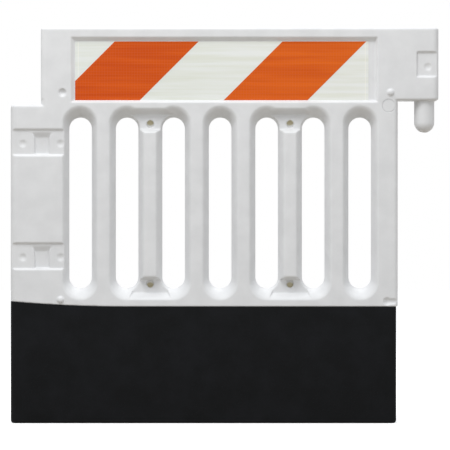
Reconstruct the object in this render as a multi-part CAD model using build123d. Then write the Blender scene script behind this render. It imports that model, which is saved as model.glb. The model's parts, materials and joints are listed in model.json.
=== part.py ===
from build123d import *
import os
from math import sqrt

# Interlocking pedestrian barricade panel: a blow-moulded white shell with a hinge
# knuckle and socket low on the left, an arm with a hinge peg high on the right,
# striped sheeting on both faces and a black rubber boot round the ballast tank.
# Millimetres. X runs along the panel, -Y is the front face, Z is up.
# The origin is on the ground under the middle of the panel.

# ---------------------------------------------------------------- overall sizes
overall_length = 1100.0
overall_height = 1016.0
panel_thickness = 70.0
shell_wall = 4.0

# ---------------------------------------------------------------- outline
top_rail_height = 187.0
link_gap = 11.0
arm_reach = 105.0
knuckle_step = 78.0
knuckle_width = 149.5
end_post_width = 67.5
end_corner_radius = 12.0
hinge_end_radius = 16.0
rail_corner_radius = 8.0
knuckle_top_radius = 7.0
rail_edge_radius = 6.0

# ---------------------------------------------------------------- hinge peg and socket
peg_radius = 26.0
peg_drop = 82.0
socket_clearance = 1.0

# ---------------------------------------------------------------- slots between the bars
slot_width = 58.0
bar_width_wanted = 62.0
sill_height = 47.0
head_height = 43.0
side_flare = 20.4
end_flare = 36.0
parting_land = 3.0
slot_wall = 6.0
roll_steps = 4
roll_lift = 1.0
core_overlap = 0.3

# ---------------------------------------------------------------- pinched webs between paired slots
web_depth = 22.0
web_ledge = 11.0
web_top_reach = 31.0
web_top_rise = 7.0
web_top_roll = 21.0
web_top_spread = 3.0
web_bottom_reach = 22.0
web_bottom_drop = 12.0
web_bottom_roll = 22.0
web_bottom_spread = 15.0
tack_radius = 9.0
tack_depth = 10.0
tack_rim = 2.5
tack_bottom_radius = 2.0
tack_below_slot_top = 17.0
tack_above_slot_bottom = 12.0
tack_wall = 4.5

# ---------------------------------------------------------------- sheeting pocket
pocket_left_margin = 77.0
pocket_right_margin = 52.0
pocket_bottom_margin = 5.0
pocket_top_margin = 24.0
pocket_depth = 9.0
pocket_slope_left = 10.0
pocket_slope_right = 5.0
pocket_slope_top = 11.0
pocket_slope_bottom = 5.0
film_thickness = 0.5
film_left_gap = 1.0
film_right_gap = 18.5
film_edge_gap = 0.5
stripe_width = 215.5
stripe_film_thickness = 0.3
stripe_first_edge = 101.5

# ---------------------------------------------------------------- grip recesses
grip_height = 72.0
grip_below_knuckle_top = 61.0
grip_above_base = 94.0
grip_above_arm = 58.0
grip_arm_height = 69.0
grip_arm_width = 56.0
cushion_depth = 5.0
channel_depth = 12.0
channel_width = 37.0
channel_from_end = 62.0
channel_corner_radius = 25.0
channel_roof_drop = 18.0
grip_slope = 5.0
grip_right_margin = 3.5
dimple_radius = 10.0
dimple_depth = 3.0
dimple_from_bottom = 33.0
dimple_from_channel = 30.0

# ---------------------------------------------------------------- stacking bumps and cups
bump_radius = 9.5
bump_height = 6.0
bump_clearance = 0.8
upper_left_bump_inset = 56.0
upper_right_bump_inset = 19.0
upper_bump_height = 20.0
lower_left_bump_inset = 129.0
lower_right_bump_inset = 28.0
lower_left_bump_height = 18.0
lower_right_bump_height = 14.0
groove_radius = 8.3
groove_depth = 4.4

# ---------------------------------------------------------------- black boot
boot_height = 299.0
boot_rise = 14.0
boot_rise_length = 300.0
boot_wall = 5.0
boot_sole = 14.0
boot_fit_gap = 0.3
boot_rim_gap = 0.8
boot_end_inset = 4.0
boot_bottom_radius = 8.0

# ---------------------------------------------------------------- boot screws
screw_count = 4
screw_end_inset = 95.0
screw_radius = 4.0
screw_length = 24.0
screw_hole_clearance = 0.5
screw_head_radius = 8.0
screw_head_height = 4.4
screw_head_rounding = 2.64
screw_socket_width = 5.0
screw_socket_depth = 2.6
washer_radius = 10.0
washer_thickness = 1.6
head_pocket_radius = 11.5
head_pocket_depth = 7.5
insert_radius = 6.5
insert_length = 20.0
insert_flange_radius = 8.5
insert_flange_thickness = 1.5
insert_boss_radius = 13.0
insert_end_wall = 1.0
insert_rib_count = 3
insert_rib_radius = 0.8
insert_rib_out = 0.3

# ---------------------------------------------------------------- fill and drain stoppers
stopper_head_radius = 15.5
stopper_head_thickness = 4.0
stopper_shank_radius = 10.0
stopper_shank_length = 15.0
stopper_clearance = 0.3
stopper_boss_wall = 4.0
stopper_boss_length = 20.0
seal_section_radius = 1.0
seal_reach_gap = 0.15
seal_groove_gap = 0.1
seal_from_head = 6.0
grip_bar_width = 3.0
grip_cup_depth = 2.4
grip_cup_radius = 11.0
shank_chamfer = 1.5
drain_window_gap = 1.5
fill_end_inset = 24.0
fill_below_rail = 14.0
drain_height = 52.0

# ---------------------------------------------------------------- how far tools run past what they cut
face_overlap = 1.0
past_end = 5.0
hole_overlap = 3.0
rail_overlap = 20.0
above_boot = 60.0
least_corner = 1.0
corner_tolerance = 0.001
least_edge = 1.5

# ---------------------------------------------------------------- places worked out from the sizes
half_thickness = panel_thickness / 2
left_end = -overall_length / 2
right_end = overall_length / 2
rail_left = left_end + knuckle_step
post_right = right_end - arm_reach
arm_bottom = overall_height - top_rail_height
knuckle_top = arm_bottom - link_gap
hinge_left_x = left_end + half_thickness
hinge_right_x = right_end - half_thickness
peg_end = arm_bottom - peg_drop
socket_radius = peg_radius + socket_clearance
socket_centre_z = peg_end + peg_radius
slot_bottom = boot_height + sill_height
slot_top = arm_bottom - head_height
slot_length = slot_top - slot_bottom
slots_left = left_end + knuckle_width
slots_right = post_right - end_post_width
slots_span = slots_right - slots_left
slot_count = round((slots_span + bar_width_wanted) / (slot_width + bar_width_wanted))
bar_width = (slots_span - slot_count * slot_width) / (slot_count - 1)
slot_pitch = slot_width + bar_width
slot_centres = [slots_left + slot_width / 2 + slot_pitch * n for n in range(slot_count)]
web_centres = [slot_centres[n] + slot_pitch / 2 for n in range(1, slot_count - 1, 3)]
pocket_left = rail_left + pocket_left_margin
pocket_right = post_right - pocket_right_margin
pocket_bottom = arm_bottom - pocket_bottom_margin
pocket_top = overall_height - pocket_top_margin
film_left = pocket_left + pocket_slope_left + film_left_gap
film_right = pocket_right - pocket_slope_right - film_right_gap
film_bottom = pocket_bottom + pocket_slope_bottom + film_edge_gap
film_top = pocket_top - pocket_slope_top - film_edge_gap
boot_right = post_right - boot_end_inset
tank_inset = boot_wall + boot_fit_gap
tank_bottom = boot_sole + boot_fit_gap
screw_span = boot_right - left_end - 2 * screw_end_inset
screw_xs = [left_end + screw_end_inset + screw_span * n / (screw_count - 1) for n in range(screw_count)]
fill_x = post_right - fill_end_inset
fill_z = arm_bottom - fill_below_rail
stopper_hole_radius = stopper_shank_radius + stopper_clearance


def block(x0, x1, y0, y1, z0, z1):
    """A box from its low corner to its high corner."""
    return Pos((x0 + x1) / 2, (y0 + y1) / 2, (z0 + z1) / 2) * Box(x1 - x0, y1 - y0, z1 - z0)


def plan_prism(x0, x1, z0, z1, inset=0.0, left=end_corner_radius, right=end_corner_radius):
    """A prism on the ground plan, with its own corner radius at each end."""
    low = x0 + inset
    high = x1 - inset
    plan = Pos((low + high) / 2, 0) * Rectangle(high - low, 2 * (half_thickness - inset))
    for end, radius in ((low, left), (high, right)):
        corners = [v for v in plan.vertices() if abs(v.X - end) < corner_tolerance]
        plan = fillet(corners, max(radius - inset, least_corner))
    return Pos(0, 0, z0) * extrude(plan, z1 - z0)


def face_plate(depth, x0, x1, z0, z1):
    """A rectangle parallel to the front face, at a depth below it."""
    spot = Pos((x0 + x1) / 2, (z0 + z1) / 2)
    return Plane.XZ.offset(half_thickness - depth) * spot * Rectangle(x1 - x0, z1 - z0)


def on_face(depth, x, z, sketch):
    """A sketch laid parallel to the front face, at a depth below it."""
    return Plane.XZ.offset(half_thickness - depth) * Pos(x, z) * sketch


def to_back(solid):
    """The same shape on the back face."""
    return mirror(solid, about=Plane.XZ)


def roll_levels(depth):
    """(share of the flare, depth) down a convex rolled edge, from its foot to just above the face."""
    shares = [n / roll_steps for n in range(roll_steps + 1)]
    return [(s, (depth + roll_lift) * (1 - s) ** 2 - roll_lift) for s in shares]


# ---------------------------------------------------------------- tools that shape the shell
def slot_cutter(x, grow):
    """One through slot whose edges roll out to the faces from the parting line."""
    middle_z = (slot_top + slot_bottom) / 2
    foot_depth = half_thickness - parting_land / 2 + core_overlap
    sections = []
    for share, depth in roll_levels(foot_depth):
        width = slot_width + 2 * (side_flare * share + grow)
        length = slot_length + 2 * (end_flare * share + grow)
        sections.append(on_face(depth, x, middle_z, SlotOverall(length, width, rotation=90)))
    roll = loft(sections)
    core = SlotOverall(slot_length + 2 * grow, slot_width + 2 * grow, rotation=90)
    through = extrude(on_face(half_thickness, x, middle_z, core), parting_land / 2, both=True)
    return roll + through + to_back(roll)


def web_cutter(x, top, grow):
    """The dished space over the pinched web between two paired slots, on the front."""
    sections = []
    reach = slot_pitch / 2
    floor_depth = web_depth + grow
    for share, depth in roll_levels(floor_depth):
        if top:
            low = slot_top - web_top_reach - web_ledge * share - grow
            high = slot_top + web_top_rise + web_top_roll * share + grow
            half = reach - web_top_spread * (1 - share)
        else:
            high = slot_bottom + web_bottom_reach + web_ledge * share + grow
            low = slot_bottom - web_bottom_drop - web_bottom_roll * share - grow
            half = reach - web_bottom_spread * (1 - share)
        half += grow
        sections.append(face_plate(depth, x - half, x + half, low, high))
    return loft(sections)


def tack_cutter(x, z, grow):
    """A blind round tack-off with a chamfered rim, where the two walls are pinched together."""
    end_depth = web_depth + tack_depth + grow
    hole = on_face(end_depth, x, z, Circle(tack_radius + grow))
    barrel = extrude(hole, end_depth + roll_lift)
    barrel = fillet(barrel.faces().sort_by(Axis.Y)[-1].edges(), tack_bottom_radius)
    if grow:
        return barrel
    inner = on_face(web_depth + tack_rim, x, z, Circle(tack_radius))
    outer = on_face(web_depth - core_overlap, x, z, Circle(tack_radius + tack_rim + core_overlap))
    return barrel + loft([inner, outer])


def pocket_cutter(grow):
    """The flat pocket that holds the sheeting, with sloped walls, on the front."""
    out = roll_lift / pocket_depth
    top = face_plate(
        -roll_lift,
        pocket_left - pocket_slope_left * out - grow,
        pocket_right + pocket_slope_right * out + grow,
        pocket_bottom - pocket_slope_bottom * out - grow,
        pocket_top + pocket_slope_top * out + grow,
    )
    floor = face_plate(
        pocket_depth + grow,
        pocket_left + pocket_slope_left - grow,
        pocket_right - pocket_slope_right + grow,
        pocket_bottom + pocket_slope_bottom - grow,
        pocket_top - pocket_slope_top + grow,
    )
    return loft([floor, top], ruled=True)


def sloped_box(x0, x1, z0, z1, depth, slope, grow):
    """A shallow recess whose upper and lower walls slope in to its floor."""
    top = face_plate(-roll_lift, x0 - grow, x1 + grow, z0 - grow, z1 + grow)
    floor = face_plate(depth + grow, x0 - grow, x1 + grow, z0 + slope - grow, z1 - slope + grow)
    return loft([floor, top], ruled=True)


def dimple_cutter(x, z, grow):
    """A shallow round dimple in a cushion."""
    ball = (dimple_radius**2 + dimple_depth**2) / (2 * dimple_depth)
    centre_y = -(half_thickness - cushion_depth - dimple_depth + ball)
    return Pos(x, centre_y, z) * Sphere(ball + grow)


def channel_cutter(z0, z1, grow):
    """The deeper channel between two cushions: it widens in two arcs, under a sloped roof."""
    x = left_end + channel_from_end + channel_width / 2
    low = z0 + grip_slope
    high = z1 - grip_slope
    stem = Pos(0, (low + high) / 2) * Rectangle(channel_width + 2 * grow, high - low + 2 * grow)
    radius = channel_corner_radius
    size = radius + grow
    shape = stem
    for side in (-1, 1):
        centre = Pos(side * (channel_width / 2 + radius), high - radius)
        corner = Pos(side * (channel_width + size) / 2, high - radius + size / 2) * Rectangle(size, size)
        shape = shape + (corner - centre * Circle(radius - grow))
    sketch = on_face(channel_depth + grow, x, 0, shape)
    reach = channel_depth + grow - cushion_depth / 2
    channel = extrude(sketch, reach)
    front = -(half_thickness - cushion_depth / 2)
    back = front + reach
    rise = channel_roof_drop / reach * face_overlap
    roof = high + grow
    side_view = [
        (front - face_overlap, roof + rise), (back + face_overlap, roof - channel_roof_drop - rise),
        (back + face_overlap, low - grip_height), (front - face_overlap, low - grip_height),
    ]
    under_roof = Plane.YZ * make_face(Polyline(*side_view, close=True))
    return channel & Pos(x, 0, 0) * extrude(under_roof, grip_height, both=True)


def knuckle_grip(z0, grow):
    """One grip recess across the knuckle column: two cushions with dimples, and a channel."""
    z1 = z0 + grip_height
    x1 = slots_left - grip_right_margin
    cut = sloped_box(left_end - past_end, x1, z0, z1, cushion_depth, grip_slope, grow)
    cut = cut + channel_cutter(z0, z1, grow)
    middle = left_end + channel_from_end + channel_width / 2
    for side in (-1, 1):
        x = middle + side * (channel_width / 2 + dimple_from_channel)
        cut = cut + dimple_cutter(x, z0 + dimple_from_bottom, grow)
    return cut


def arm_grip(grow):
    """The grip recess at the free end of the arm: one cushion with its dimple."""
    z0 = arm_bottom + grip_above_arm
    z1 = z0 + grip_arm_height
    x0 = right_end - grip_arm_width
    cut = sloped_box(x0, right_end + past_end, z0, z1, cushion_depth, grip_slope, grow)
    dimple = dimple_cutter(right_end - grip_arm_width / 2, z0 + dimple_from_bottom - grip_slope, grow)
    return cut + dimple


def bump_cap(x, z, front, radius, height):
    """A spherical cap that stands out of a face, or the same cap as a tool that sinks into it."""
    ball = (radius**2 + height**2) / (2 * height)
    side = -1 if front else 1
    return Pos(x, side * (half_thickness + height - ball), z) * Sphere(ball)


def cup_cutter(x, z, front, grow):
    """The cup that takes the next panel's bump when panels are stacked flat."""
    radius = bump_radius + bump_clearance
    depth = bump_height + bump_clearance
    ball = (radius**2 + depth**2) / (2 * depth)
    side = -1 if front else 1
    return Pos(x, side * (half_thickness - depth + ball), z) * Sphere(ball + grow)


upper_left_spot = (rail_left + upper_left_bump_inset, arm_bottom + upper_bump_height)
upper_right_spot = (post_right - upper_right_bump_inset, arm_bottom + upper_bump_height)
lower_left_spot = (left_end + lower_left_bump_inset, boot_height + lower_left_bump_height)
lower_right_spot = (post_right - lower_right_bump_inset, boot_height + lower_right_bump_height)


def stacking_cuts(grow):
    """Cups: upper left and lower right on the front, the other two corners on the back."""
    x, z = lower_right_spot
    groove_length = post_right - x + 2 * hole_overlap
    groove = Cylinder(groove_radius + grow, groove_length)
    centre_y = -half_thickness - groove_radius + groove_depth
    groove = Pos((x + post_right) / 2 + hole_overlap, centre_y, z) * Rot(0, 90, 0) * groove
    cuts = [cup_cutter(*upper_left_spot, True, grow), cup_cutter(*lower_right_spot, True, grow)]
    cuts += [cup_cutter(*upper_right_spot, False, grow), cup_cutter(*lower_left_spot, False, grow)]
    return cuts + [groove]


def surface_cuts(grow):
    """Every recess in the two faces; with grow, the same recesses with their wall behind them."""
    slot_grow = slot_wall if grow else 0.0
    cuts = [slot_cutter(x, slot_grow) for x in slot_centres]
    fronts = [pocket_cutter(grow), arm_grip(grow)]
    fronts.append(knuckle_grip(knuckle_top - grip_below_knuckle_top - grip_height, grow))
    fronts.append(knuckle_grip(boot_height + grip_above_base, grow))
    for x in web_centres:
        fronts.append(web_cutter(x, True, grow))
        fronts.append(web_cutter(x, False, grow))
        tack_grow = tack_wall if grow else 0.0
        fronts.append(tack_cutter(x, slot_top - tack_below_slot_top, tack_grow))
        fronts.append(tack_cutter(x, slot_bottom + tack_above_slot_bottom, tack_grow))
    cuts += fronts
    cuts += [to_back(cut) for cut in fronts]
    return cuts + stacking_cuts(grow)


# ---------------------------------------------------------------- the white shell
def outer_form(inset, floor):
    """The closed outline of the moulding: knuckle column, panel, top rail with its arm, and peg."""
    top = overall_height
    edge = max(rail_edge_radius - inset, least_edge)
    column = plan_prism(left_end, slots_left, floor, knuckle_top - inset, inset, hinge_end_radius)
    column_edge = max(knuckle_top_radius - inset, least_edge)
    column = fillet(column.faces().sort_by(Axis.Z)[-1].edges(), column_edge)
    panel = plan_prism(rail_left, post_right, floor, arm_bottom + rail_overlap, inset)
    rail = plan_prism(rail_left, right_end, arm_bottom + inset, top - inset, inset,
                      rail_corner_radius, hinge_end_radius)
    rail_ends = rail.faces().filter_by(Axis.Z)
    rail = fillet(rail_ends.edges(), edge)
    reach = arm_bottom + rail_overlap - socket_centre_z
    peg = Pos(hinge_right_x, 0, socket_centre_z) * Sphere(peg_radius - inset)
    shank = Pos(hinge_right_x, 0, socket_centre_z + reach / 2) * Cylinder(peg_radius - inset, reach)
    return column + panel + rail + peg + shank


def boot_profile(raise_by):
    """Front view of the boot: level along the panel, with its rim rising towards the knuckle."""
    low = -face_overlap if raise_by else 0.0
    rim = boot_height + raise_by
    start = left_end + boot_rise_length
    far = post_right + past_end if raise_by else boot_right
    near = left_end - past_end if raise_by else left_end
    level = Line((far, rim), (start, rim))
    rise = TangentArc((start, rim), (near, rim + boot_rise), tangent=(-1, 0))
    rest = Polyline((near, rim + boot_rise), (near, low), (far, low), (far, rim))
    return make_face(Curve() + [level, rise, rest])


def boot_form(raise_by):
    """The boot's front view carried through the whole thickness, and a little past it."""
    return extrude(Plane.XZ * boot_profile(raise_by), panel_thickness, both=True)


def tank_plan(z0, z1, extra):
    """The ballast tank inside the boot, on the ground plan."""
    return plan_prism(left_end, boot_right, z0, z1, tank_inset + extra, hinge_end_radius)


def socket_cutter(grow):
    """The blind hinge socket in the top of the knuckle, with a round bottom."""
    reach = knuckle_top + past_end - socket_centre_z
    ball = Pos(hinge_left_x, 0, socket_centre_z) * Sphere(socket_radius + grow)
    bore = Pos(hinge_left_x, 0, socket_centre_z + reach / 2) * Cylinder(socket_radius + grow, reach)
    return ball + bore


def cavity():
    """The hollow inside the moulding, with bosses left for the socket, inserts and stoppers."""
    upper = outer_form(shell_wall, boot_height + boot_rise + shell_wall)
    lower = tank_plan(tank_bottom + shell_wall, boot_height + boot_rise + 2 * shell_wall, shell_wall)
    hollow = upper + lower
    for cut in surface_cuts(shell_wall):
        hollow = hollow - cut
    hollow = hollow - socket_cutter(shell_wall)
    boss_height = insert_length + shell_wall
    for x in screw_xs:
        spot = Pos(x, 0, tank_bottom + boss_height / 2)
        hollow = hollow - spot * Cylinder(insert_boss_radius, boss_height)
    fill_boss = Cylinder(stopper_head_radius + stopper_boss_wall, 2 * stopper_boss_length)
    hollow = hollow - Pos(fill_x, -half_thickness, fill_z) * Rot(90, 0, 0) * fill_boss
    drain_boss = Cylinder(stopper_hole_radius + stopper_boss_wall, 2 * stopper_boss_length)
    return hollow - Pos(boot_right - tank_inset, 0, drain_height) * Rot(0, 90, 0) * drain_boss


def fill_cut():
    """The hole and the flush seat for the fill stopper, in the front face."""
    seat_depth = stopper_head_thickness
    seat = on_face(seat_depth, fill_x, fill_z, Circle(stopper_head_radius + stopper_clearance))
    hole = on_face(stopper_boss_length + hole_overlap, fill_x, fill_z, Circle(stopper_hole_radius))
    return extrude(seat, seat_depth + face_overlap) + extrude(hole, stopper_boss_length + hole_overlap)


def drain_cut():
    """The hole for the drain stopper, in the end of the tank."""
    length = 2 * (stopper_boss_length + hole_overlap)
    hole = Cylinder(stopper_hole_radius, length)
    return Pos(boot_right - tank_inset, 0, drain_height) * Rot(0, 90, 0) * hole


def panel_shell():
    """The white moulding: outer form less its recesses, less the step for the boot, less its hollow."""
    body = outer_form(0.0, tank_bottom)
    for cut in surface_cuts(0.0):
        body = body - cut
    for x, z, front in ((*upper_right_spot, True), (*lower_left_spot, True),
                        (*upper_left_spot, False), (*lower_right_spot, False)):
        body = body + bump_cap(x, z, front, bump_radius, bump_height)
    step = boot_form(boot_rim_gap) - tank_plan(tank_bottom, boot_height + above_boot, 0.0)
    body = body - step
    body = body - cavity()
    body = body - socket_cutter(0.0) - fill_cut() - drain_cut()
    for x in screw_xs:
        body = body - Pos(x, 0, tank_bottom) * insert_blank()
    return body


# ---------------------------------------------------------------- boot and its fasteners
def insert_blank():
    """The full outside of one threaded insert, standing on the underside of the tank."""
    barrel = Pos(0, 0, insert_length / 2) * Cylinder(insert_radius, insert_length)
    flange = Pos(0, 0, insert_flange_thickness / 2) * Cylinder(insert_flange_radius, insert_flange_thickness)
    return barrel + flange


def threaded_insert():
    """One moulded-in insert: a flanged barrel with ribs round it and a bore for the screw."""
    blank = insert_blank()
    for n in range(insert_rib_count):
        ring = Torus(insert_radius + insert_rib_out, insert_rib_radius)
        blank = blank - Pos(0, 0, (n + 1) * insert_length / (insert_rib_count + 1)) * ring
    bore = Pos(0, 0, insert_length / 2 - insert_end_wall) * Cylinder(screw_radius, insert_length)
    return blank - bore


def boot_screw():
    """One button-head screw, head down, with a hexagon socket."""
    dome = Pos(0, 0, -screw_head_height / 2) * Cylinder(screw_head_radius, screw_head_height)
    dome = fillet(dome.faces().sort_by(Axis.Z)[0].edges(), screw_head_rounding)
    shank = Pos(0, 0, screw_length / 2) * Cylinder(screw_radius, screw_length)
    socket = extrude(RegularPolygon(screw_socket_width / 2, 6, major_radius=False), screw_socket_depth)
    return dome + shank - Pos(0, 0, -screw_head_height) * socket


def screw_washer():
    """One plain washer."""
    ring = Circle(washer_radius) - Circle(screw_radius + screw_hole_clearance)
    return extrude(ring, washer_thickness)


def base_boot():
    """The black rubber boot: a thick sole and a wall that is flush with the white faces."""
    outer = plan_prism(left_end, boot_right, 0, boot_height + above_boot, 0.0, hinge_end_radius)
    outer = fillet(outer.faces().sort_by(Axis.Z)[0].edges(), boot_bottom_radius)
    inner = plan_prism(left_end, boot_right, boot_sole, boot_height + above_boot, boot_wall,
                       hinge_end_radius)
    boot = (outer - inner) & boot_form(0.0)
    for x in screw_xs:
        hole = Pos(x, 0, boot_sole / 2) * Cylinder(screw_radius + screw_hole_clearance, 2 * boot_sole)
        pocket = Pos(x, 0, head_pocket_depth / 2) * Cylinder(head_pocket_radius, head_pocket_depth)
        boot = boot - hole - pocket
    window = Cylinder(stopper_head_radius + drain_window_gap, 4 * boot_wall)
    return boot - Pos(boot_right, 0, drain_height) * Rot(0, 90, 0) * window


def at_screws(piece, z):
    """Copies of one fastener at every screw place, as one group of separate solids."""
    return Compound(children=[Pos(x, 0, z) * piece for x in screw_xs])


# ---------------------------------------------------------------- stoppers
def stopper(with_grip):
    """A push-in stopper lying along +X with its seat at the origin and its shank towards -X."""
    head = Pos(stopper_head_thickness / 2, 0, 0) * Rot(0, 90, 0)
    head = head * Cylinder(stopper_head_radius, stopper_head_thickness)
    shank = Pos(-stopper_shank_length / 2, 0, 0) * Rot(0, 90, 0)
    shank = shank * Cylinder(stopper_shank_radius, stopper_shank_length)
    shank = chamfer(shank.faces().sort_by(Axis.X)[0].edges(), shank_chamfer)
    plug = head + shank
    groove_depth = 2 * seal_section_radius + seal_reach_gap - stopper_clearance + seal_groove_gap
    groove_radius = stopper_shank_radius - groove_depth
    width = 2 * seal_section_radius + 2 * seal_groove_gap
    ring = Cylinder(stopper_shank_radius + face_overlap, width) - Cylinder(groove_radius, width)
    plug = plug - Pos(-seal_from_head, 0, 0) * Rot(0, 90, 0) * ring
    if with_grip:
        cup = Pos(stopper_head_thickness, 0, 0) * Rot(0, 90, 0)
        cup = cup * Cylinder(grip_cup_radius, 2 * grip_cup_depth)
        half_bar = grip_bar_width / 2
        bar_reach = grip_cup_radius + face_overlap
        bar = block(0, stopper_head_thickness + face_overlap, -half_bar, half_bar, -bar_reach, bar_reach)
        plug = plug - (cup - bar)
    return plug


def stopper_seal():
    """The O-ring in the stopper's groove."""
    reach = stopper_hole_radius - seal_reach_gap
    ring = Torus(reach - seal_section_radius, seal_section_radius)
    return Pos(-seal_from_head, 0, 0) * Rot(0, 90, 0) * ring


def at_fill(piece):
    """A stopper piece placed in the front face, facing -Y."""
    return Pos(fill_x, -(half_thickness - stopper_head_thickness), fill_z) * Rot(0, 0, -90) * piece


def at_drain(piece):
    """A stopper piece placed in the end of the tank, facing +X."""
    return Pos(boot_right - tank_inset, 0, drain_height) * piece


# ---------------------------------------------------------------- sheeting
def film(front):
    """The white reflective film on the pocket floor."""
    sheet = face_plate(pocket_depth, film_left, film_right, film_bottom, film_top)
    solid = extrude(sheet, film_thickness)
    return solid if front else to_back(solid)


def stripes(front):
    """Orange stripes at 45 degrees, clipped to the film, on top of it."""
    height = film_top - film_bottom
    window = Pos((film_left + film_right) / 2, (film_bottom + film_top) / 2)
    window = window * Rectangle(film_right - film_left, height)
    bands = []
    foot = film_left + stripe_first_edge - height
    while foot < film_right:
        corners = [(foot, film_bottom), (foot + stripe_width, film_bottom),
                   (foot + stripe_width + height, film_top), (foot + height, film_top)]
        band = make_face(Polyline(*corners, close=True)) & window
        raised = Plane.XZ.offset(half_thickness - pocket_depth + film_thickness)
        bands.append(extrude(raised * band, stripe_film_thickness).solid())
        foot += 2 * stripe_width
    placed = bands if front else [band.mirror(Plane.XZ) for band in bands]
    return Compound(children=placed)


def main():
    os.makedirs("parts", exist_ok=True)
    parts = {
        "panel_shell": panel_shell(),
        "base_boot": base_boot(),
        "boot_screws": at_screws(boot_screw(), head_pocket_depth - washer_thickness),
        "boot_washers": at_screws(screw_washer(), head_pocket_depth - washer_thickness),
        "threaded_inserts": at_screws(threaded_insert(), tank_bottom),
        "fill_stopper": at_fill(stopper(False)),
        "fill_stopper_seal": at_fill(stopper_seal()),
        "drain_stopper": at_drain(stopper(True)),
        "drain_stopper_seal": at_drain(stopper_seal()),
        "sheeting_front": film(True),
        "sheeting_back": film(False),
        "orange_stripes_front": stripes(True),
        "orange_stripes_back": stripes(False),
    }
    for name, shape in parts.items():
        export_step(shape, f"parts/{name}.step")
        print(name, round(shape.volume / 1000, 2), "cm3", shape.bounding_box().size)


main()
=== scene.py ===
# %% [markdown]
# # An interlocking barricade panel
# A white blow-moulded panel with a striped sheet across its top, seven slots, a hinge knuckle on
# the left, a hinge peg on the right and a black rubber boot round its ballast tank. The packed
# model gives every place and size. This file gives the surfaces, the soft edges and the light.

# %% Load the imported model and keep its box
import json
import math
import bpy
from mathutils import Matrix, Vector

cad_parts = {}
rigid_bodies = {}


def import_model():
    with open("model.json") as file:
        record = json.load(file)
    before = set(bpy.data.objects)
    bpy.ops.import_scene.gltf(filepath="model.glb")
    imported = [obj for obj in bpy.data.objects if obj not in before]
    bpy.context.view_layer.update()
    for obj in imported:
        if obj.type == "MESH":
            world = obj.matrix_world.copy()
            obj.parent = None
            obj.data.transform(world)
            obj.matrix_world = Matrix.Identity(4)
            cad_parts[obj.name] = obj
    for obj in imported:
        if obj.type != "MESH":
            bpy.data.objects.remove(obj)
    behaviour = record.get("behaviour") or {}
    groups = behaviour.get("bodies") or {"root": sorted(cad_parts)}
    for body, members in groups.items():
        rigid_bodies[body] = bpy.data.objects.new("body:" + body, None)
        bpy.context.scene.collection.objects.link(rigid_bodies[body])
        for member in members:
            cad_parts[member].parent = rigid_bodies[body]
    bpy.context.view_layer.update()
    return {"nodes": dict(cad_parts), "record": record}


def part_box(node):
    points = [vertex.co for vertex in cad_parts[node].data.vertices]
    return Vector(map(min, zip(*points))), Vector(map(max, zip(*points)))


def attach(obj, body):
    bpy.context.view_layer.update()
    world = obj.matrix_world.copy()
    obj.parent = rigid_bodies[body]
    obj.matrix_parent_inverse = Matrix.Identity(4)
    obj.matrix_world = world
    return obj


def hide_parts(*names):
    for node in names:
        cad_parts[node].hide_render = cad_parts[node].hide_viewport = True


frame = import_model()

MM = 0.001


# %% [markdown]
# Every operator works on what is selected, and the loaded model arrives selected. So the first
# helper clears the selection and takes up one object alone.

# %% Pick up one object alone
def take(piece):
    if bpy.context.mode != "OBJECT":
        bpy.ops.object.mode_set(mode="OBJECT")
    bpy.ops.object.select_all(action="DESELECT")
    piece.select_set(True)
    bpy.context.view_layer.objects.active = piece
    return piece


bpy.ops.object.select_all(action="DESELECT")
print("nodes", sorted(frame["nodes"]))


# %% [markdown]
# Colours are easiest to choose as the hex codes that a screen shows. The shader wants linear
# light, so one function turns them. A second one adds any shader node, with its settings, what
# feeds its inputs and, on a colour ramp, its stops.

# %% Colour and node helpers
def linear(code):
    channels = [int(code[i:i + 2], 16) / 255 for i in (1, 3, 5)]
    return [c / 12.92 if c <= 0.04045 else ((c + 0.055) / 1.055) ** 2.4 for c in channels] + [1.0]


def add(material, kind, inputs=None, stops=(), **settings):
    """Adds one node. An input takes a link, a number or a hex colour; a stop a place and a colour."""
    tree = material.node_tree
    node = tree.nodes.new("ShaderNode" + kind)
    for name, value in settings.items():
        setattr(node, name, value)
    for key, value in (inputs or {}).items():
        if isinstance(value, bpy.types.NodeSocket):
            tree.links.new(value, node.inputs[key])
        else:
            node.inputs[key].default_value = linear(value) if isinstance(value, str) else value
    if len(stops) > 2:
        node.color_ramp.elements.new(stops[1][0])
    for index, (position, colour) in enumerate(stops):
        stop = node.color_ramp.elements[index]
        stop.position = position
        stop.color = linear(colour) if isinstance(colour, str) else colour
    return node


def start_material(name, roughness, ior, metallic=0.0):
    """A new material with its surface shader and the object's own coordinates."""
    material = bpy.data.materials.new(name)
    material.use_nodes = True
    shader = material.node_tree.nodes["Principled BSDF"]
    shader.inputs["Roughness"].default_value = roughness
    shader.inputs["IOR"].default_value = ior
    shader.inputs["Metallic"].default_value = metallic
    place = add(material, "TexCoord").outputs["Object"]
    return material, shader, place


def per_metre(size_mm):
    """How many repeats of a pattern of that size there are in a metre."""
    return 1.0 / (size_mm * MM)


print("white is", [round(c, 3) for c in linear("#E1E2E3")[:3]], "in linear light")
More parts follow.
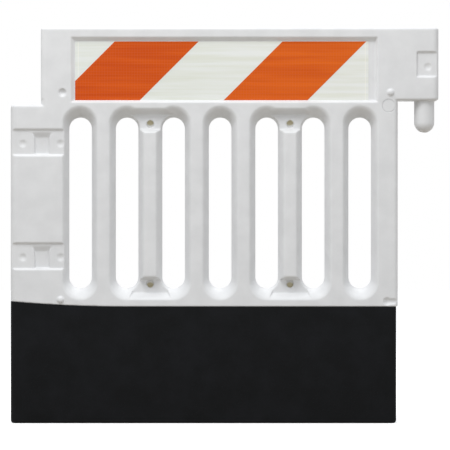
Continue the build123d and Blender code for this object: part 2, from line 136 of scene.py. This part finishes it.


# %% [markdown]
# Between the paired slots the two walls are pinched together at four tack holes, and their depths
# lie in shade and look tan. That shade is painted: a tan spot in the white's colour darkens each
# hole's depth. Each spot is placed from the straight part of the slots beside it. That puts it
# 8 mm further out than the middle of its hole, and it is wide enough to reach most of the way
# across.

# %% Places of the painted shade spots
SPOT_ABOVE_GAP_TOP = 9 * MM
SPOT_BELOW_GAP_BOTTOM = 14 * MM
SPOT_RADIUS = 9.5 * MM
SPOT_FADED_RADIUS = 13.5 * MM
SPOT_PAIRS = (("slot_2", "slot_3"), ("slot_5", "slot_6"))
openings = {gap["name"]: gap["box_m"] for gap in frame["record"]["physics"]["openings"]}
spot_centres = []
for left_slot, right_slot in SPOT_PAIRS:
    left, _, gap_bottom = openings[left_slot][0]
    right, _, gap_top = openings[right_slot][1]
    spot_centres.append(((left + right) / 2, 0, gap_top + SPOT_ABOVE_GAP_TOP))
    spot_centres.append(((left + right) / 2, 0, gap_bottom - SPOT_BELOW_GAP_BOTTOM))
print("tan spots at", [[round(c, 4) for c in centre] for centre in spot_centres])


# %% Mask of the painted shade spots
def painted_shade_spots(material, place):
    """1 inside each spot of painted shade, fading to 0 round it."""
    mask = None
    for centre in spot_centres:
        away = add(material, "VectorMath", {0: place, 1: centre}, operation="DISTANCE")
        spot = add(material, "MapRange", {"Value": away.outputs["Value"],
                                          "From Min": SPOT_FADED_RADIUS, "From Max": SPOT_RADIUS})
        if mask is None:
            mask = spot.outputs["Result"]
        else:
            both = {0: mask, 1: spot.outputs["Result"]}
            mask = add(material, "Math", both, operation="MAXIMUM").outputs["Value"]
    return mask


print(len(spot_centres), "spots in the mask")


# %% [markdown]
# High-density polyethylene, blow-moulded: white pigment all through, a waxy satin face with the
# fine grain of a blasted mould, and long shallow waves where the hot skin shrank as it cooled.
# The waves matter more than the grain, because they are what breaks up a large pale face. A
# fine seam runs round the middle of every edge, where the two halves of the mould met.

# %% White blow-moulded polyethylene
HAZE_MM = 45
WAVE_MM = 160
GRAIN_MM = 2.2
SEAM_HALF_WIDTH = 0.6 * MM
GLOW_DEPTH = 4 * MM


def white_polyethylene():
    material, shader, place = start_material("hdpe_blow_moulded_white", roughness=0.5, ior=1.52)
    haze = add(material, "TexNoise", {"Vector": place, "Scale": per_metre(HAZE_MM), "Detail": 4.0})
    tone = add(material, "ValToRGB", {"Fac": haze.outputs["Fac"]},
               stops=((0.35, "#DBDCDD"), (0.65, "#E1E2E3")))
    # The tan mixed into the white here is painted shade in the depths of the four tack holes.
    shaded_tone = add(material, "Mix", {0: painted_shade_spots(material, place), 6: tone.outputs["Color"],
                                 7: "#C4BB9C"}, data_type="RGBA")
    split = add(material, "SeparateXYZ", {"Vector": place})
    seam = add(material, "Math", {0: split.outputs["Y"], 1: 0.0, 2: SEAM_HALF_WIDTH},
               operation="COMPARE")
    waves = add(material, "TexNoise", {"Vector": place, "Scale": per_metre(WAVE_MM), "Detail": 2.0})
    grain = add(material, "TexNoise", {"Vector": place, "Scale": per_metre(GRAIN_MM), "Detail": 3.0})
    normal = None
    for relief, strength, depth_mm in ((waves.outputs["Fac"], 0.25, 4),
                                       (seam.outputs["Value"], 0.6, 0.4),
                                       (grain.outputs["Fac"], 0.12, 0.2)):
        inputs = {"Height": relief, "Strength": strength, "Distance": depth_mm * MM}
        if normal is not None:
            inputs["Normal"] = normal
        normal = add(material, "Bump", inputs).outputs["Normal"]
    tree = material.node_tree
    tree.links.new(shaded_tone.outputs[2], shader.inputs["Base Color"])
    tree.links.new(normal, shader.inputs["Normal"])
    shader.inputs["Subsurface Weight"].default_value = 0.06
    shader.inputs["Subsurface Radius"].default_value = (GLOW_DEPTH, GLOW_DEPTH, GLOW_DEPTH)
    shader.inputs["Subsurface Scale"].default_value = 1.0
    return material


white = white_polyethylene()
print("made", white.name)


# %% [markdown]
# The boot is pressed from ground tyre rubber: nearly black and quite dull, with pale crumbs of
# fibre and worn tread showing in it, and a face that is pitted at the size of the crumb.

# %% Recycled black rubber
CRUMB_MM = 5.5
CLOUD_MM = 60


def crumb_rubber():
    material, shader, place = start_material("recycled_crumb_rubber_black", roughness=0.78, ior=1.52)
    crumb = add(material, "TexVoronoi", {"Vector": place, "Scale": per_metre(CRUMB_MM)})
    cloud = add(material, "TexNoise", {"Vector": place, "Scale": per_metre(CLOUD_MM), "Detail": 5.0})
    fleck = add(material, "ValToRGB", {"Fac": crumb.outputs["Distance"]},
                stops=((0.04, "#222426"), (0.16, "#101112")))
    base = add(material, "ValToRGB", {"Fac": cloud.outputs["Fac"]},
               stops=((0.38, "#111213"), (0.68, "#161719")))
    mixed = add(material, "Mix", {0: 1.0, 6: base.outputs["Color"], 7: fleck.outputs["Color"]},
                data_type="RGBA", blend_type="LIGHTEN")
    pits = add(material, "Bump", {"Height": crumb.outputs["Distance"], "Strength": 0.25,
                                  "Distance": 0.5 * MM})
    tree = material.node_tree
    tree.links.new(mixed.outputs[2], shader.inputs["Base Color"])
    tree.links.new(pits.outputs["Normal"], shader.inputs["Normal"])
    shader.inputs["Specular IOR Level"].default_value = 0.1
    return material


black = crumb_rubber()
print("made", black.name)


# %% [markdown]
# Barricade sheeting is a prismatic film: rows of tiny cube corners under a clear face, sealed to
# a backing in a fine lattice and, on the white, in a line near each end. It throws light back in
# faint level bands, so the white isn't even. The orange is the same film with a clear orange
# layer over it, which looks a little redder at its left. The lattice is drawn at 7 mm, coarser
# than the real 3 mm, so that it shows. Bands, lattice and seal each get a function of their own.

# %% Patterns of the film
film_low, film_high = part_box("sheeting_front")
BAND_MM = 16
BANDS_PER_METRE_ALONG = 3.0
CELL = 7 * MM
SEAL_FROM_END = 8 * MM
SEAL_HALF_WIDTH = 0.9 * MM


def level_bands(material, place, deep, pale):
    """The colour of soft streaks, 16 mm high and a third of a metre long."""
    stretch = add(material, "Mapping", {"Vector": place,
                                        "Scale": (BANDS_PER_METRE_ALONG, 1.0, per_metre(BAND_MM))})
    bands = add(material, "TexNoise", {"Vector": stretch.outputs["Vector"], "Scale": 1.0,
                                       "Detail": 3.0})
    tone = add(material, "ValToRGB", {"Fac": bands.outputs["Fac"]},
               stops=((0.36, deep), (0.62, pale)))
    return tone.outputs["Color"]


def lattice(material, place):
    """1 on the lines between the square cells of the backing, 0 elsewhere."""
    turned = add(material, "Mapping", {"Vector": place, "Rotation": (math.radians(90), 0, 0)})
    cells = add(material, "TexBrick", {"Vector": turned.outputs["Vector"], "Scale": 1.0,
                                       "Brick Width": CELL, "Row Height": CELL,
                                       "Mortar Size": 0.5 * MM}, offset=0.0)
    return cells.outputs["Fac"]


def seal_lines(material, along, share):
    """The share of a pale line that crosses the film near each end."""
    film_middle = (film_low.x + film_high.x) / 2
    seal_from_middle = (film_high.x - film_low.x) / 2 - SEAL_FROM_END
    off_middle = add(material, "Math", {0: along, 1: film_middle}, operation="SUBTRACT")
    away = add(material, "Math", {0: off_middle.outputs["Value"]}, operation="ABSOLUTE")
    line = add(material, "Math", {0: away.outputs["Value"], 1: seal_from_middle,
                                  2: SEAL_HALF_WIDTH}, operation="COMPARE")
    faint = add(material, "Math", {0: line.outputs["Value"], 1: share}, operation="MULTIPLY")
    return faint.outputs["Value"]


print("film is", round((film_high.x - film_low.x) / MM), "mm long")


# %% [markdown]
# One function lays those patterns over each other, from the bands up: the tint along the length,
# the lattice, then the seal. It makes both films, which differ only in colour, gloss and seal.

# %% Prismatic reflective film
LATTICE_SHARE = 0.025


def reflective_film(name, deep, pale, left_tint, specular, seal_share):
    material, shader, place = start_material(name, roughness=0.3, ior=1.49)
    split = add(material, "SeparateXYZ", {"Vector": place})
    along = add(material, "MapRange", {"Value": split.outputs["X"], "From Min": film_low.x,
                                       "From Max": film_high.x})
    tint = add(material, "Mix", {0: along.outputs["Result"], 6: left_tint, 7: "#FFFFFF"},
               data_type="RGBA")
    tinted = add(material, "Mix", {0: 1.0, 6: level_bands(material, place, deep, pale),
                                   7: tint.outputs[2]}, data_type="RGBA", blend_type="MULTIPLY")
    lines = lattice(material, place)
    faint = add(material, "Math", {0: lines, 1: LATTICE_SHARE}, operation="MULTIPLY")
    latticed = add(material, "Mix", {0: faint.outputs["Value"], 6: tinted.outputs[2],
                                     7: "#FFFFFF"}, data_type="RGBA")
    sealed = add(material, "Mix", {0: seal_lines(material, split.outputs["X"], seal_share),
                                   6: latticed.outputs[2], 7: "#FBFAF0"}, data_type="RGBA")
    bump = add(material, "Bump", {"Height": lines, "Strength": 0.1, "Distance": 0.1 * MM})
    tree = material.node_tree
    tree.links.new(sealed.outputs[2], shader.inputs["Base Color"])
    tree.links.new(bump.outputs["Normal"], shader.inputs["Normal"])
    shader.inputs["Specular IOR Level"].default_value = specular
    return material


white_film = reflective_film("prismatic_film_white", deep="#E2E4D9", pale="#ECEEEB",
                             left_tint="#FAFCFC", specular=0.4, seal_share=0.5)
orange_film = reflective_film("prismatic_film_orange", deep="#D45A12", pale="#E26918",
                              left_tint="#F0D4D0", specular=0.12, seal_share=0.0)
print("made", white_film.name, "and", orange_film.name)


# %% [markdown]
# The small parts: stainless screws and washers, turned brass inserts, nitrile O-rings and a
# moulded black stopper. Each keeps its own grain, because they are seen close up when the boot is
# looked at from below or a stopper is pulled.

# %% Small-part finishes
DEEPEST_TONE = 0.8


def small_part(name, code, roughness, ior, metallic, grain_mm, depth_mm):
    material, shader, place = start_material(name, roughness, ior, metallic)
    grain = add(material, "TexNoise", {"Vector": place, "Scale": per_metre(grain_mm), "Detail": 3.0})
    colour = linear(code)
    deep = [DEEPEST_TONE * c for c in colour[:3]] + [1.0]
    tone = add(material, "ValToRGB", {"Fac": grain.outputs["Fac"]}, stops=((0.0, deep), (1.0, colour)))
    bump = add(material, "Bump", {"Height": grain.outputs["Fac"], "Strength": 0.2,
                                  "Distance": depth_mm * MM})
    material.node_tree.links.new(tone.outputs["Color"], shader.inputs["Base Color"])
    material.node_tree.links.new(bump.outputs["Normal"], shader.inputs["Normal"])
    return material


stainless = small_part("stainless_steel_turned", "#C9C9C6", roughness=0.3, ior=1.5, metallic=1.0,
                       grain_mm=0.8, depth_mm=0.03)
brass = small_part("brass_turned", "#D8B25A", roughness=0.32, ior=1.5, metallic=1.0,
                   grain_mm=0.8, depth_mm=0.03)
nitrile = small_part("nitrile_rubber_black", "#1B1B1C", roughness=0.55, ior=1.52, metallic=0.0,
                     grain_mm=0.6, depth_mm=0.02)
black_moulded = small_part("polypropylene_moulded_black", "#202123", roughness=0.42, ior=1.49,
                           metallic=0.0, grain_mm=0.9, depth_mm=0.04)
print("made", [m.name for m in (stainless, brass, nitrile, black_moulded)])


# %% [markdown]
# The camera looks straight at the front face from six metres, at half the panel's height. From
# that far the near and far faces keep nearly the same scale. Its angle is worked out from the
# width that has to fit in the square frame.

# %% Camera
shell_low, shell_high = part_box("panel_shell")
boot_low, boot_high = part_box("base_boot")
length = shell_high.x - shell_low.x
height = shell_high.z - boot_low.z
VIEW_OVER_LENGTH = 1.0557
CAMERA_DISTANCE = 6.0
SENSOR = 36
view_width = length * VIEW_OVER_LENGTH
camera_data = bpy.data.cameras.new("camera")
camera_data.sensor_width = SENSOR
camera_data.lens = SENSOR * CAMERA_DISTANCE / view_width
camera = bpy.data.objects.new("camera", camera_data)
camera.location = (MM, -CAMERA_DISTANCE, height / 2 + MM)
camera.rotation_euler = (math.radians(90), 0, 0)
bpy.context.scene.collection.objects.link(camera)
bpy.context.scene.camera = camera
print("camera lens", round(camera_data.lens, 1), "mm")


# %% [markdown]
# The white body is a moulding, so it has no sharp edge anywhere: the melt can't follow one. The
# frame has the true form with its edges still crisp, as loose triangles. It could be modelled
# again from a box, but a welded copy of the frame's own mesh is sure to be the right size. The
# helpers here make that copy, apply a modifier, and select faces by their place.

# %% Copy a frame node as a welded working mesh
WELD_GAP = 0.02 * MM


def welded_copy(node, name):
    piece = bpy.data.objects.new(name, frame["nodes"][node].data.copy())
    bpy.context.scene.collection.objects.link(piece)
    piece.data.materials.clear()
    take(piece)
    bpy.ops.object.mode_set(mode="EDIT")
    bpy.ops.mesh.select_all(action="SELECT")
    bpy.ops.mesh.remove_doubles(threshold=WELD_GAP)
    bpy.ops.object.mode_set(mode="OBJECT")
    print(name, "welded to", len(piece.data.vertices), "points")
    return piece


def apply_modifier(piece, kind, **settings):
    modifier = piece.modifiers.new(kind.title(), kind)
    for key, value in settings.items():
        setattr(modifier, key, value)
    take(piece)
    bpy.ops.object.modifier_apply(modifier=modifier.name)


def select_faces(piece, test):
    """Selects the faces whose centre passes the test, and nothing else."""
    take(piece)
    bpy.ops.object.mode_set(mode="EDIT")
    bpy.ops.mesh.select_mode(type="FACE")
    bpy.ops.mesh.select_all(action="DESELECT")
    bpy.ops.object.mode_set(mode="OBJECT")
    chosen = 0
    for face in piece.data.polygons:
        face.select = test(face.center)
        chosen += face.select
    bpy.ops.object.mode_set(mode="EDIT")
    return chosen


print("working helpers ready, welding within", WELD_GAP, "m")


# %% [markdown]
# The moulding is hollow, so its mesh has an outer and an inner skin, joined only at the rims of
# the two stopper holes. Nobody sees the inner one, and a remesh would waste its net on it. So the
# hole walls are deleted, the outer skin is kept by following linked faces from one outer point,
# and each hole gets its own wall and blind end again by extruding its rim.

# %% Take away the hidden inner skin
def delete_faces(piece, test):
    print("hole faces", select_faces(piece, test))
    bpy.ops.mesh.delete(type="FACE")
    bpy.ops.object.mode_set(mode="OBJECT")


def keep_skin_at_right_end(piece):
    """Keeps only what is linked to the point furthest to the right, which is on the outer skin."""
    select_faces(piece, lambda centre: False)
    bpy.ops.mesh.select_mode(type="VERT")
    bpy.ops.object.mode_set(mode="OBJECT")
    max(piece.data.vertices, key=lambda point: point.co.x).select = True
    bpy.ops.object.mode_set(mode="EDIT")
    bpy.ops.mesh.select_linked()
    bpy.ops.mesh.select_all(action="INVERT")
    bpy.ops.mesh.delete(type="VERT")
    bpy.ops.object.mode_set(mode="OBJECT")


print("skin helpers ready")


# %% [markdown]
# Deleting a hole's wall leaves its rim as an open ring of edges. Blender can select all open edges
# at once, and the ones that belong to this hole are then picked out by their place. One extrude
# inwards draws the wall, and filling the last ring closes its end.

# %% Give a stopper hole its blind end
JUST_INSIDE = 0.05


def close_hole(piece, in_hole, inward):
    """Draws the hole's open rim inwards and closes its end. The rim lies just outside the hole's
    own zone, so each edge is tested a twentieth of the depth further in."""
    take(piece)
    bpy.ops.object.mode_set(mode="EDIT")
    bpy.ops.mesh.select_all(action="DESELECT")
    bpy.ops.mesh.select_mode(type="EDGE")
    bpy.ops.mesh.select_non_manifold()
    bpy.ops.object.mode_set(mode="OBJECT")
    points = piece.data.vertices
    for edge in piece.data.edges:
        centre = (points[edge.vertices[0]].co + points[edge.vertices[1]].co) / 2
        edge.select = edge.select and in_hole(centre + inward * JUST_INSIDE)
    print("rim edges", sum(edge.select for edge in piece.data.edges))
    bpy.ops.object.mode_set(mode="EDIT")
    bpy.ops.mesh.extrude_edges_move(TRANSFORM_OT_translate={"value": inward})
    bpy.ops.mesh.edge_face_add()
    bpy.ops.object.mode_set(mode="OBJECT")


print("hole helper ready")


# %% [markdown]
# Both stopper holes are found from the boxes of their stoppers, a little wider than the hole and
# starting behind the stopper's flat head.

# %% Where the two stopper holes are
fill_low, fill_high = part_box("fill_stopper")
fill_centre = (fill_low + fill_high) / 2
drain_low, drain_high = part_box("drain_stopper")
drain_centre = (drain_low + drain_high) / 2
HOLE_RADIUS = 10.6 * MM
HEAD_DEPTH = 3.9 * MM
BLIND_DEPTH = 24 * MM
PAST_FILL_END = 10 * MM
PAST_DRAIN_END = 20 * MM


def in_fill_hole(c):
    away = math.hypot(c.x - fill_centre.x, c.z - fill_centre.z)
    return away < HOLE_RADIUS and fill_low.y + HEAD_DEPTH < c.y < fill_high.y + PAST_FILL_END


def in_drain_hole(c):
    away = math.hypot(c.y - drain_centre.y, c.z - drain_centre.z)
    return away < HOLE_RADIUS and drain_low.x - PAST_DRAIN_END < c.x < drain_high.x - HEAD_DEPTH


stopper_holes = ((in_fill_hole, Vector((0, BLIND_DEPTH, 0))),
                 (in_drain_hole, Vector((-BLIND_DEPTH, 0, 0))))
print("stopper holes at", fill_centre, drain_centre)


# %% [markdown]
# A bevel could soften the edges, but it fails where three or four hollows run into each other. A
# voxel remesh doesn't care: it lays one even net over everything, a few rounds of smoothing relax
# each edge to a radius of about the net's size, and a decimate gives the flat faces back.

# %% Soften the moulding
def soften(piece, net, relax, most_triangles):
    """An even net over the whole skin, relaxed so its edges round off, then thinned to a budget."""
    apply_modifier(piece, "REMESH", mode="VOXEL", voxel_size=net)
    apply_modifier(piece, "SMOOTH", factor=0.5, iterations=relax)
    share = most_triangles / (2 * len(piece.data.polygons))
    apply_modifier(piece, "DECIMATE", ratio=min(1.0, share))
    take(piece)
    bpy.ops.object.shade_smooth()
    print(piece.name, "softened to", len(piece.data.polygons), "faces")


print("softening helper ready")


# %% [markdown]
# Now the helpers are used in order. The outer skin alone is kept, the two holes get their ends, and
# the whole is softened.

# %% The moulded panel
FINE_NET = 1.6 * MM
RELAX_ROUNDS = 4
MOST_TRIANGLES = 192000
shell = welded_copy("panel_shell", "moulded_panel")
for in_hole, inward in stopper_holes:
    delete_faces(shell, in_hole)
keep_skin_at_right_end(shell)
for in_hole, inward in stopper_holes:
    close_hole(shell, in_hole, inward)
take(shell)
bpy.ops.object.mode_set(mode="EDIT")
bpy.ops.mesh.select_all(action="SELECT")
bpy.ops.mesh.normals_make_consistent(inside=False)
bpy.ops.object.mode_set(mode="OBJECT")
print("outer skin has", len(shell.data.vertices), "points")
soften(shell, FINE_NET, RELAX_ROUNDS, MOST_TRIANGLES)
shell.data.materials.append(white)
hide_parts("panel_shell")
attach(shell, "panel")


# %% [markdown]
# The boot is pressed rubber with a firmer edge than the moulding. Its wall is thin beside its
# size, so it keeps its own mesh and only its sharp edges are bevelled.

# %% Rubber boot
FLAT_WITHIN = math.radians(0.5)
SHARP_FROM = math.radians(40)
SMOOTH_WITHIN = math.radians(35)
BOOT_EDGE = 1.2 * MM
boot = welded_copy("base_boot", "rubber_boot")
apply_modifier(boot, "DECIMATE", decimate_type="DISSOLVE", angle_limit=FLAT_WITHIN)
apply_modifier(boot, "BEVEL", width=BOOT_EDGE, segments=3, limit_method="ANGLE",
               angle_limit=SHARP_FROM)
take(boot)
bpy.ops.object.shade_smooth_by_angle(angle=SMOOTH_WITHIN)
boot.data.materials.append(black)
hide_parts("base_boot")
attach(boot, "panel")
print("boot faces", len(boot.data.polygons))


# %% [markdown]
# The rest of the frame's nodes already have their right shape, so they only take their finishes.

# %% Finishes of the frame's own nodes
finishes = {
    "sheeting_front": white_film, "sheeting_back": white_film,
    "orange_stripes_front": orange_film, "orange_stripes_back": orange_film,
    "fill_stopper": white, "fill_stopper_seal": nitrile,
    "drain_stopper": black_moulded, "drain_stopper_seal": nitrile,
    "boot_screws": stainless, "boot_washers": stainless, "threaded_inserts": brass,
}
for node, material in finishes.items():
    mesh = frame["nodes"][node].data
    mesh.materials.clear()
    mesh.materials.append(material)
print("finished", len(finishes), "nodes")


# %% [markdown]
# A wide pale floor for the panel to stand on. It glows a little, so that far from the panel it is
# as white as the sky and no horizon shows from any side. It throws no soft light back at the
# panel: what lights the undersides is the lower half of the sky, which is easier to colour.

# %% Floor
FLOOR_SIZE = 24.0
FLOOR_GLOW = 0.32
floor_material, floor_shader = start_material("studio_paper", roughness=0.9, ior=1.45)[:2]
floor_shader.inputs["Base Color"].default_value = linear("#F6F6F5")
floor_shader.inputs["Emission Color"].default_value = linear("#FFFFFF")
floor_shader.inputs["Emission Strength"].default_value = FLOOR_GLOW
floor_shader.inputs["Specular IOR Level"].default_value = 0.0
bpy.ops.mesh.primitive_plane_add(size=FLOOR_SIZE, location=(0, 0, 0))
floor = take(bpy.context.active_object)
floor.name = "floor"
floor.data.materials.append(floor_material)
floor.visible_diffuse = False
print("floor", FLOOR_SIZE, "m across")


# %% [markdown]
# One broad lamp hangs above the front, a little to the left, and a weaker one above the back. A
# broad lamp gives soft shadows, and from above it brightens every ledge and darkens the hollows.

# %% Lamps
def add_lamp(name, place, aim, size, power):
    data = bpy.data.lights.new(name, "AREA")
    data.shape = "RECTANGLE"
    data.size, data.size_y = size
    data.energy = power
    lamp = bpy.data.objects.new(name, data)
    lamp.location = place
    lamp.rotation_euler = (Vector(aim) - Vector(place)).to_track_quat("-Z", "Y").to_euler()
    bpy.context.scene.collection.objects.link(lamp)


target = (0, 0, height / 2)
LAMP_SIZE = (2.2, 1.2)
add_lamp("front_lamp", place=(-0.6, -1.6, 3.2), aim=target, size=LAMP_SIZE, power=56)
add_lamp("back_lamp", place=(0.6, 1.8, 3.2), aim=target, size=LAMP_SIZE, power=22)
print("lamps hung")


# %% [markdown]
# The sky is bright overhead, middling at eye level, and dim and warm underfoot, like the light on
# a white thing outdoors: its ledges shine and the undersides of its dishes go tan. That colouring
# only lights the panel. The sky that is seen behind it is plain white.

# %% Sky
def add_sky(high, level, low):
    """Its light depends only on how high it is: overhead, level and underfoot. It is seen white."""
    world = bpy.data.worlds.new("sky")
    bpy.context.scene.world = world
    world.use_nodes = True
    tree = world.node_tree
    place = add(world, "TexCoord")
    split = add(world, "SeparateXYZ", {"Vector": place.outputs["Generated"]})
    share = add(world, "MapRange", {"Value": split.outputs["Z"], "From Min": -1.0})
    ramp = add(world, "ValToRGB", {"Fac": share.outputs["Result"]},
               stops=((0.0, low), (0.5, level), (1.0, high)))
    lighting = tree.nodes["Background"]
    tree.links.new(ramp.outputs["Color"], lighting.inputs["Color"])
    seen = add(world, "Background", {"Color": "#FFFFFF"})
    ray = add(world, "LightPath")
    both = add(world, "MixShader", {0: ray.outputs["Is Camera Ray"], 1: lighting.outputs[0],
                                    2: seen.outputs[0]})
    tree.links.new(both.outputs[0], tree.nodes["World Output"].inputs["Surface"])


add_sky(high="#FAFCFF", level="#C9CACC", low="#A79A83")
bpy.context.scene.view_settings.view_transform = "Standard"
print("sky lit")
